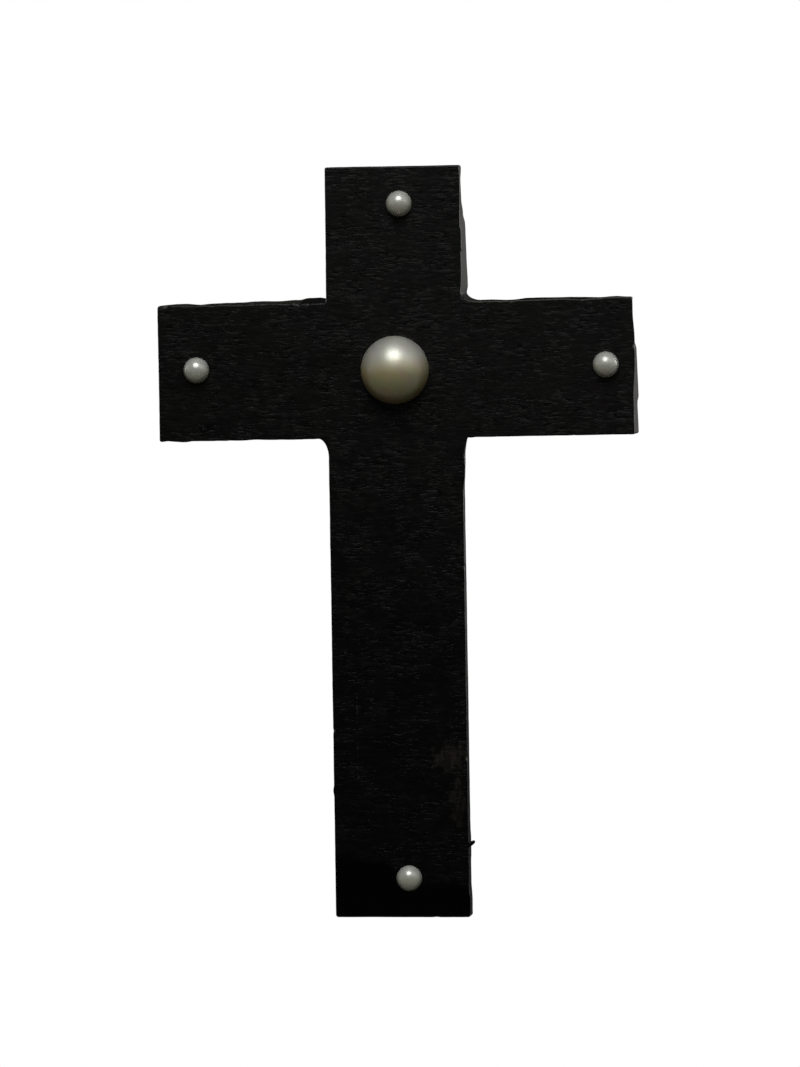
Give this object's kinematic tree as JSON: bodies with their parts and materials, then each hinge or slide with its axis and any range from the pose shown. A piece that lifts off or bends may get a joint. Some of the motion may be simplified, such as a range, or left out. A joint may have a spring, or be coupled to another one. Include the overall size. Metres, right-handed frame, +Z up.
{
  "type": "wall cross",
  "caption": "Flat Latin cross to hang on a wall, with a half-round pearl at the crossing, a smaller one near the end of each arm, and a blind nail hole in the back.",
  "frame": {"origin": "on the flat back face that lies on the wall, where the middle lines of the shaft and the crossbar meet", "axes": "+Z up along the shaft to the head, +Y out of the back face into the wall, so the pearls face -Y; +X to the right as seen from the front"},
  "size_m": [0.1123, 0.0206, 0.1775],
  "materials": {
    "black_paint": "open-grained board under brushed matt black paint, worn thin on the shaft's edge",
    "pearl": "cream pearl lacquer with a soft highlight"
  },
  "bodies": {
    "root": {"cross_board": "black_paint", "centre_pearl": "pearl", "head_pearl": "pearl", "left_pearl": "pearl", "right_pearl": "pearl", "foot_pearl": "pearl"}
  },
  "joints": []
}
